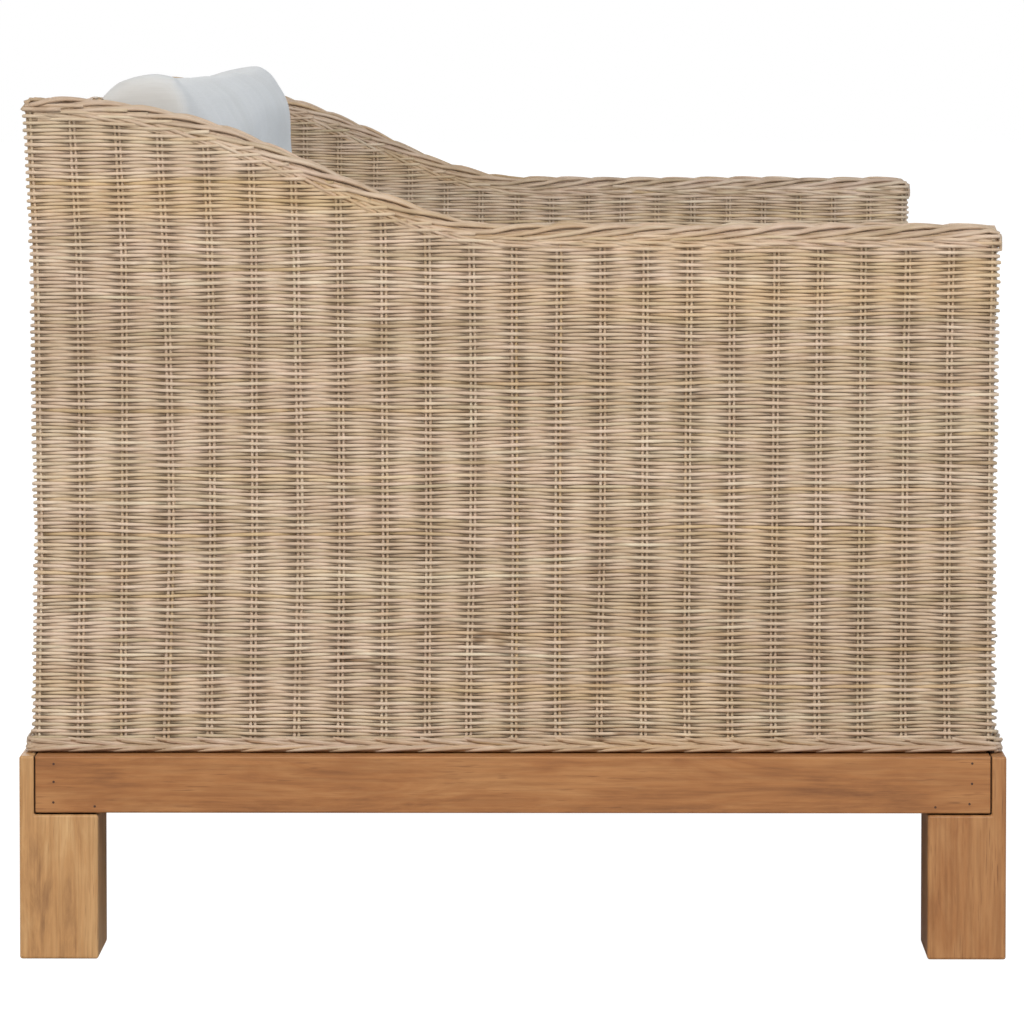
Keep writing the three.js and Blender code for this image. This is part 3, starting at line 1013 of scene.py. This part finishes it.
def jointLines(finish):
    # dark lines where the rails' ends meet the legs
    width = 0.0008
    x, y, z = (part.maths("ABSOLUTE", part) for part in finish.axes(finish.node("TexCoord", output=3)))

    def near(value, at):
        return finish.node("Math", {"operation": "COMPARE"}, {0: value, 1: at, 2: width})

    def above(value, limit):
        return finish.node("Math", {"operation": "GREATER_THAN"}, {0: value, 1: limit})

    railEnd = box["end_rail_left"][1][1] + 0.00015
    railFoot = box["end_rail_left"][0][2] - 0.0007
    longEnd = box["long_rail_front"][1][0] + 0.00015
    legIn = box["leg_rear_left"][0][1] - 0.001
    upright = near(y, railEnd) * above(z, railFoot) + near(x, longEnd) * above(z, railFoot) * above(y, legIn)
    under = near(z, railFoot) * above(y, legIn) * (1.0 - above(y, railEnd))
    return (upright + under).clamped()


def bevelCopy(name, width, segments=3):
    # a sharp-edged part of the frame with its edges eased
    mesh = bmesh.new()
    mesh.from_mesh(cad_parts[name].data)
    bmesh.ops.remove_doubles(mesh, verts=mesh.verts, dist=1e-5)
    bmesh.ops.dissolve_limit(mesh, angle_limit=math.radians(1), verts=mesh.verts, edges=mesh.edges)
    sharp = [edge for edge in mesh.edges if edge.is_manifold and edge.calc_face_angle() > 0.5]
    bmesh.ops.bevel(mesh, geom=sharp, offset=width, offset_type="OFFSET", segments=segments, profile=0.5,
                    affect="EDGES", material=-1, clamp_overlap=True)
    bmesh.ops.triangulate(mesh, faces=[face for face in mesh.faces if len(face.verts) > 4])
    return addBuilt(name + "Eased", mesh)


def buildWood():
    legTones = {
        "rear_left": (1.39, 1.70, 2.0),
        "front_left": (0.99, 0.97, 0.93),
        "rear_right": (1.0, 0.99, 0.97),
        "front_right": (1.08, 1.06, 1.04),
    }
    for i, (corner, lift) in enumerate(legTones.items()):
        finish = makeWood("legWood_" + corner, 2, (1.7 * i, 3.1 * i, 0.6 * i), lift, joints=True)
        finishPiece(bevelCopy("leg_" + corner, 0.0022), finish, "frame", "base_wood", "leg_" + corner)
    for i, name in enumerate(("end_rail_left", "end_rail_right", "long_rail_front", "long_rail_rear")):
        along = 1 if name.startswith("end") else 0
        shift = (2.3 * i + 0.4, 1.9 * i, 5.2 + i)
        finish = makeWood("railWood_" + name, along, shift, (1.0, 0.94, 0.85), joints=True)
        finishPiece(bevelCopy(name, 0.0016), finish, "frame", "base_wood", name)
    sawn = (1.15, 1.2, 1.25)
    inner = makeWood("innerWood", 0, (4.0, 2.0, 1.0), sawn, rough=0.7)
    cross = makeWood("crossWood", 1, (1.0, 6.0, 1.0), sawn, rough=0.7)
    upright = makeWood("uprightWood", 2, (1.0, 6.0, 3.0), sawn, rough=0.7)
    dressing = {
        "cross_bearer": cross, "seat_prop": upright, "post": upright, "corner_block": upright,
        "slat": inner, "seat_beam": inner,
    }
    for name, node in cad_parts.items():
        for start, finish in dressing.items():
            if name.startswith(start):
                dress(node, finish)
        if "pole" in name:
            dress(node, poleFinish)
    print("wood made")


def dress(node, finish):
    node.data.materials.clear()
    node.data.materials.append(finish.material)


poleFinish = makeWood("poleRattan", 0, (0.3, 0.2, 0.1), (1.35, 1.4, 1.4), rough=0.55)
buildWood()

nails = {
    "radius": 0.0011,
    "proud": 0.0002,
    "depth": 0.003,
    "inset": 0.0178,
    "second": 0.052,
    "heights": (0.0445, 0.027, 0.008),
    "low": 0.0065,
}


def buildNails():
    rust = Finish("nailIron", {"Base Color": opaque(rgb(70, 42, 26)), "Roughness": 0.7})
    mesh = bmesh.new()
    railFoot = box["end_rail_left"][0][2]
    spots = [(nails["inset"], railFoot + height) for height in nails["heights"]]
    spots.append((nails["second"], railFoot + nails["low"]))
    runs = (
        (0, box["end_rail_left"][0][0], -1, box["end_rail_left"][1][1]),
        (0, box["end_rail_right"][1][0], 1, box["end_rail_left"][1][1]),
        (1, box["long_rail_front"][0][1], -1, box["long_rail_front"][1][0]),
        (1, box["long_rail_rear"][1][1], 1, box["long_rail_front"][1][0]),
    )
    for axis, face, way, end in runs:
        for sign in (-1, 1):
            for inset, height in spots:
                place = Vector((0, 0, height))
                place[axis] = face + way * (nails["proud"] - nails["depth"] / 2)
                place[1 - axis] = sign * (end - inset) + rng.normal(0, 0.0012)
                place[2] += rng.normal(0, 0.0008)
                turn = Matrix.Rotation(math.pi / 2, 4, "Y" if axis == 0 else "X")
                bmesh.ops.create_cone(mesh, cap_ends=True, segments=12, radius1=nails["radius"],
                                      radius2=nails["radius"], depth=nails["depth"],
                                      matrix=Matrix.Translation(place) @ turn)
    finishPiece(addBuilt("railNails", mesh), rust, "frame", "base_wood")


buildNails()


def makeCotton():
    finish = Finish("cotton", {"Roughness": 0.92, "Specular IOR Level": 0.2, "Sheen Weight": 0.25})
    where = finish.place()
    broad = finish.noise(where, 3.0, detail=3.0)
    slub = finish.noise(finish.place((1.0, 1.0, 40.0)), 30.0, detail=2.0)
    colour = finish.ramp(broad * 0.7 + slub * 0.3, [(0.3, rgb(195, 194, 190)), (0.7, rgb(208, 207, 205))])
    finish.feed("Base Color", colour)
    x, y, z = finish.axes(where)
    thread = 2 * math.pi / 0.0011
    warp = (x * thread).maths("SINE", x * thread)
    weft = ((y + z) * thread).maths("SINE", (y + z) * thread)
    crumple = finish.noise(where, 14.0, detail=3.0, distortion=0.4)
    finish.bump(warp * 0.05 + weft * 0.05 + slub * 0.12 + crumple * 1.2, 0.35, 0.0016)
    return finish


cotton = makeCotton()


def padCushion(name, settings):
    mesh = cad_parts[name].data.copy()
    mesh.materials.clear()
    piece = addObject(name + "Padded", mesh)
    remesh = piece.modifiers.new("remesh", "REMESH")
    remesh.mode = "VOXEL"
    remesh.voxel_size = settings["voxel"]
    bake(piece)
    shapeCushion(piece.data, settings)
    puff(piece, settings)
    if "humps" in settings:
        raiseTop(piece.data, settings)
    rumple(piece.data, settings)
    smooth = piece.modifiers.new("smooth", "SUBSURF")
    smooth.levels = 1
    smooth.render_levels = 1
    bake(piece)
    piece.data.polygons.foreach_set("use_smooth", [True] * len(piece.data.polygons))
    finishPiece(piece, cotton, name, "cotton", name)
    return piece


def bake(piece):
    # turn the modifiers into mesh
    made = piece.evaluated_get(bpy.context.evaluated_depsgraph_get())
    mesh = bpy.data.meshes.new_from_object(made)
    piece.modifiers.clear()
    piece.data = mesh


def coordinates(mesh):
    found = np.empty(len(mesh.vertices) * 3, dtype=np.float32)
    mesh.vertices.foreach_get("co", found)
    return found.reshape(-1, 3).astype(float)


def setCoordinates(mesh, points):
    mesh.vertices.foreach_set("co", points.astype(np.float32).ravel())
    mesh.update()


def shapeCushion(mesh, settings):
    points = coordinates(mesh)
    low, high = points.min(axis=0), points.max(axis=0)
    middle = (low + high) / 2
    half = (high - low) / 2
    share = (points - middle) / half
    x, y, z = share[:, 0], share[:, 1], share[:, 2]
    # the sides pull in between the corners, and the whole starts a little small
    points[:, 0] -= np.sign(x) * settings["shrink"] * np.abs(x)
    points[:, 0] -= np.sign(x) * settings["pinch"] * np.abs(x) ** 3 * (1 - z**2)
    if settings["ears"]:
        sag = settings["ears"] * np.clip(1 - np.abs(x) ** 6, 0, 1) * np.clip(z, 0, 1) ** 2
        ripple = 0.0012 * np.sin(points[:, 0] * 7.0 + 1.0) * np.clip(z, 0, 1) ** 2
        points[:, 2] += ripple - sag
        # the front is fullest in the middle and draws back at the ends
        points[:, 1] -= settings["bow"] * np.clip(-y, 0, 1) * (1 - z**8)
        taper = np.where(x < 0, *settings["taper"])
        points[:, 1] += taper * np.clip(-y, 0, 1) * np.abs(x) ** 5
    else:
        points[:, 1] -= settings["front"] * np.clip(-y, 0, 1)
    setCoordinates(mesh, points)


def puff(piece, settings):
    before = coordinates(piece.data)
    floor = before[:, 2].min() + settings["held"]
    group = piece.vertex_groups.new(name="held")
    group.add([int(i) for i in np.flatnonzero(before[:, 2] < floor)], 1.0, "REPLACE")
    cloth = piece.modifiers.new("cloth", "CLOTH")
    cloth.settings.vertex_group_mass = "held"
    cloth.settings.quality = 5
    cloth.settings.mass = 0.3
    cloth.settings.tension_stiffness = settings["stiff"]
    cloth.settings.compression_stiffness = settings["stiff"]
    cloth.settings.shear_stiffness = settings["stiff"] / 3
    cloth.settings.bending_stiffness = settings["bend"]
    cloth.settings.use_pressure = True
    cloth.settings.uniform_pressure_force = settings["pressure"]
    cloth.settings.effector_weights.gravity = 0
    cloth.settings.shrink_min = settings["slack"]
    cloth.collision_settings.use_collision = False
    scene = bpy.context.scene
    for step in range(1, 21):
        scene.frame_set(step)
    bake(piece)
    after = coordinates(piece.data)
    move = after - before
    length = np.linalg.norm(move, axis=1, keepdims=True)
    cap = settings["cap"]
    after = before + move * np.where(length > 0, cap * np.tanh(length / cap) / np.maximum(length, 1e-9), 0)
    setCoordinates(piece.data, settings["trim"](after))
    scene.frame_set(1)


topShape = {"slices": 45, "blend": 0.06, "ridgeSoftness": 0.006}


def raiseTop(mesh, settings):
    # bring the top edge to its heights along X, highest at the two upper corners
    points = coordinates(mesh)
    low, high = points.min(axis=0), points.max(axis=0)
    share = np.clip((points[:, 2] - low[2]) / (high[2] - low[2]), 0, 1) ** 3
    bins = np.linspace(low[0], high[0], topShape["slices"] + 1)
    where = np.digitize(points[:, 0], bins)
    tops = np.array([points[where == i, 2].max(initial=-1) for i in range(1, len(bins))])
    centres = (bins[1:] + bins[:-1]) / 2
    wanted = settings["level"] + sum(
        size * np.exp(-(((centres - at) / spread) ** 2)) for at, spread, size in settings["humps"]
    )
    inside = np.abs(centres) < settings["flank"]
    points[:, 2] += share * np.interp(points[:, 0], centres[inside], (wanted - tops)[inside])
    rear = np.clip((points[:, 1] - (low[1] + high[1]) / 2) / (high[1] - low[1]) * 2, 0, 1)
    points[:, 1] += settings["lean"] * rear * share
    # the front of the top stands forward as a full shoulder
    push, begin, reach = settings["shoulder"]
    blend = topShape["blend"]
    front = np.clip(((low[1] + high[1]) / 2 + blend / 2 - points[:, 1]) / blend, 0, 1)
    rise = np.clip((points[:, 2] - begin) / reach, 0, 1)
    points[:, 1] -= push * front * rise * rise * (3 - 2 * rise)
    # the top is crowned, and falls away on both sides of its ridge
    soft = topShape["ridgeSoftness"]
    away = np.hypot(points[:, 1] - keyed(points[:, 0], settings["ridge"]), soft) - soft
    points[:, 2] -= settings["crown"] * away * share
    setCoordinates(mesh, points)


rumpling = {"hollows": (3.1, 5.0, 4.0), "alongEdge": 4.0, "flatFoot": 0.012}


def rumple(mesh, settings):
    # broad hollows over the faces, and puckers that run in from the sewn edges
    points = coordinates(mesh)
    low, high = points.min(axis=0), points.max(axis=0)
    normals = np.empty(len(points) * 3, dtype=np.float32)
    mesh.vertices.foreach_get("normal", normals)
    normals = normals.reshape(-1, 3)
    depth = np.zeros(len(points))
    for i, (point, normal) in enumerate(zip(points, normals)):
        facing = max(range(3), key=lambda axis: abs(normal[axis]))
        others = [axis for axis in range(3) if axis != facing]
        depth[i] = settings["hollow"] * noise.noise(Vector(point * rumpling["hollows"]))
        for axis in others:
            edge = min(point[axis] - low[axis], high[axis] - point[axis])
            run = [rumpling["alongEdge"]] * 3
            run[others[0] if axis == others[1] else others[1]] = settings["pucker"]
            crease = noise.noise(Vector(point * run))
            depth[i] += settings["crease"] * crease * math.exp(-edge / settings["creaseReach"])
    resting = points[:, 2] < low[2] + rumpling["flatFoot"]
    depth[resting] = 0
    setCoordinates(mesh, points + normals * depth[:, None])


def trimMattress(points):
    # flat below, and where the back cushion stands on it
    top = box["mattress"][1][2]
    resting = points[:, 1] > box["back_cushion"][0][1] - 0.01
    points[resting, 2] = np.minimum(points[resting, 2], top)
    points[:, 2] = np.maximum(points[:, 2], box["mattress"][0][2])
    points[:, 1] = np.minimum(points[:, 1], box["mattress"][1][1] + 0.002)
    points[:, 0] = np.clip(points[:, 0], -innerX + 0.001, innerX - 0.001)
    return squareFoot(points, 0.020)


def squareFoot(points, size):
    # the front meets the apron's top: bring it forward and sharpen its lower edge
    front, foot = box["mattress"][0][1], box["mattress"][0][2]
    low = points[points[:, 2] < foot + 0.03]
    fade = np.clip((front + 0.15 - points[:, 1]) / 0.10, 0, 1)
    points[:, 1] -= fade * (low[:, 1].min() - front)
    across = (front + size - points[:, 1]) / size
    down = (foot + size - points[:, 2]) / size
    corner = (across > 0) & (down > 0)
    grow = 0.85 * (1 / np.maximum(np.maximum(across, down), 0.3) - 1)[corner]
    points[corner, 1] -= across[corner] * grow * size
    points[corner, 2] -= down[corner] * grow * size
    return points


def trimBack(points):
    points[:, 2] = np.maximum(points[:, 2], box["back_cushion"][0][2])
    points[:, 1] = np.minimum(points[:, 1], box["back_cushion"][1][1] + 0.001)
    return points


mattressPad = {
    "voxel": 0.013, "shrink": 0.003, "pinch": 0.003, "ears": 0, "front": 0.006, "held": 0.012, "stiff": 14,
    "bend": 0.6, "pressure": 2.2, "slack": -0.012, "cap": 0.010, "trim": trimMattress,
    "hollow": 0.009, "crease": 0.008, "creaseReach": 0.045, "pucker": 21.0,
}
backPad = {
    "voxel": 0.0095, "shrink": 0.002, "pinch": 0.004, "ears": 0.003, "bow": 0.020, "taper": (0.050, 0.034),
    "held": 0.004, "stiff": 12, "bend": 0.8, "pressure": 2.0, "slack": -0.012, "cap": 0.009, "trim": trimBack,
    "level": 0.781,
    "humps": ((-0.872, 0.05, 0.005), (-0.3, 0.12, 0.002), (0.35, 0.15, -0.002), (0.85, 0.09, 0.0035)),
    "flank": 0.874, "lean": 0.006, "crown": 0.21,
    "ridge": ((-0.9, 0.323), (0, 0.290), (0.9, 0.290)),
    "shoulder": (0.010, 0.685, 0.085),
    "hollow": 0.005, "crease": 0.005, "creaseReach": 0.05, "pucker": 19.0,
}
mattressPiece = padCushion("mattress", mattressPad)
backPiece = padCushion("back_cushion", backPad)


seams = {
    "mattressRadius": 0.0026,
    "backRadius": 0.0016,
    "fromEdge": 0.004,
    "aboveFoot": 0.01,
    "step": 0.016,
    "sunk": 0.5,
}


def sewSeams(piece, body, loops, radius):
    # a fine welt that lies on the cushion's own surface along each seam
    tree = BVHTree.FromObject(piece, bpy.context.evaluated_depsgraph_get())
    canes = []
    for corners in loops:
        places = []
        for begin, end in zip(corners, corners[1:]):
            begin, end = Vector(begin), Vector(end)
            steps = max(2, int((end - begin).length / seams["step"]))
            places += [begin.lerp(end, i / steps) for i in range(steps)]
        points = []
        for place in places + [Vector(corners[-1])]:
            found, normal, _, _ = tree.find_nearest(place)
            points.append(found - normal * radius * seams["sunk"])
        points = np.array(points)
        for _ in range(3):
            points[1:-1] = (points[:-2] + 2 * points[1:-1] + points[2:]) / 4
        canes.append(Cane(points, radius, rng.uniform(0, 1)))
    welt = makeCanes(body + "Seams", canes, sides=6)
    finishPiece(welt, cotton, body, "cotton")


def frameLoop(low, high, level):
    # a seam round a cushion at one height
    plan = (low[0], low[1]), (high[0], low[1]), (high[0], high[1]), (low[0], high[1]), (low[0], low[1])
    return [(*corner, level) for corner in plan]


def seamCushions():
    low, high = box["mattress"]
    edge = seams["fromEdge"]
    loops = [frameLoop(low, high, high[2] - edge), frameLoop(low, high, low[2] + edge)]
    sewSeams(mattressPiece, "mattress", loops, seams["mattressRadius"])
    low, high = box["back_cushion"]
    foot, top, y = low[2] + seams["aboveFoot"], high[2] + edge, high[1]
    loop = [(low[0], y, foot), (low[0], y, top), (high[0], y, top), (high[0], y, foot), (low[0], y, foot)]
    sewSeams(backPiece, "back_cushion", [loop], seams["backRadius"])


seamCushions()
print("cushions made")


studio = {"floorSize": 40, "floorGlow": 1.33, "floorSeen": 0.76, "allRound": 0.34, "aim": 0.4}


def makeFloor():
    plane = bmesh.new()
    bmesh.ops.create_grid(plane, x_segments=1, y_segments=1, size=studio["floorSize"])
    floor = addBuilt("floor", plane)
    paint = Finish("floorPaint", {"Base Color": (0.6, 0.6, 0.6, 1), "Roughness": 0.9})
    # seen directly the floor is nearly white, and it throws back only its own light
    glow = paint.node("Emission", {}, {"Strength": studio["floorGlow"]})
    seen = paint.node("LightPath") * studio["floorSeen"]
    blend = paint.node("MixShader", {}, {0: seen, 2: glow})
    paint.tree.links.new(paint.shader.outputs[0], blend.socket.node.inputs[1])
    paint.tree.links.new(blend.socket, paint.tree.nodes["Material Output"].inputs[0])
    floor.data.materials.append(paint.material)


# area lights, each with its place, size, power and colour
lamps = {
    "keyLight": ((-6.0, -0.6, 3.4), 2.6, 270, (1.0, 0.98, 0.955)),
    "frontLight": ((-1.5, -6.0, 3.2), 3.5, 107, (0.44, 0.68, 1.0)),
    "rearLight": ((-1.0, 5.5, 3.0), 3.5, 100, (0.95, 0.97, 1.0)),
    "topLight": ((0.4, -0.4, 4.6), 3.2, 26, (0.78, 0.89, 1.0)),
    "farLight": ((6.0, 0.5, 3.0), 3.0, 115, (1.0, 1.0, 1.0)),
}


def makeLight():
    world = bpy.data.worlds.new("studio")
    bpy.context.scene.world = world
    world.use_nodes = True
    nodes, links = world.node_tree.nodes, world.node_tree.links
    lit = nodes["Background"]
    lit.inputs[0].default_value = (1, 1, 1, 1)
    lit.inputs[1].default_value = studio["allRound"]
    seen = nodes.new("ShaderNodeBackground")
    seen.inputs[0].default_value = (1, 1, 1, 1)
    split = nodes.new("ShaderNodeMixShader")
    path = nodes.new("ShaderNodeLightPath")
    links.new(path.outputs["Is Camera Ray"], split.inputs[0])
    links.new(lit.outputs[0], split.inputs[1])
    links.new(seen.outputs[0], split.inputs[2])
    links.new(split.outputs[0], nodes["World Output"].inputs[0])
    for name, (place, size, power, colour) in lamps.items():
        data = bpy.data.lights.new(name, "AREA")
        data.size = size
        data.energy = power
        data.color = colour
        lamp = addObject(name, data)
        lamp.location = place
        look = Vector((0, 0, studio["aim"])) - lamp.location
        lamp.rotation_euler = look.to_track_quat("-Z", "Y").to_euler()
    bpy.context.scene.view_settings.view_transform = "Standard"


makeFloor()
makeLight()

bpy.context.view_layer.update()
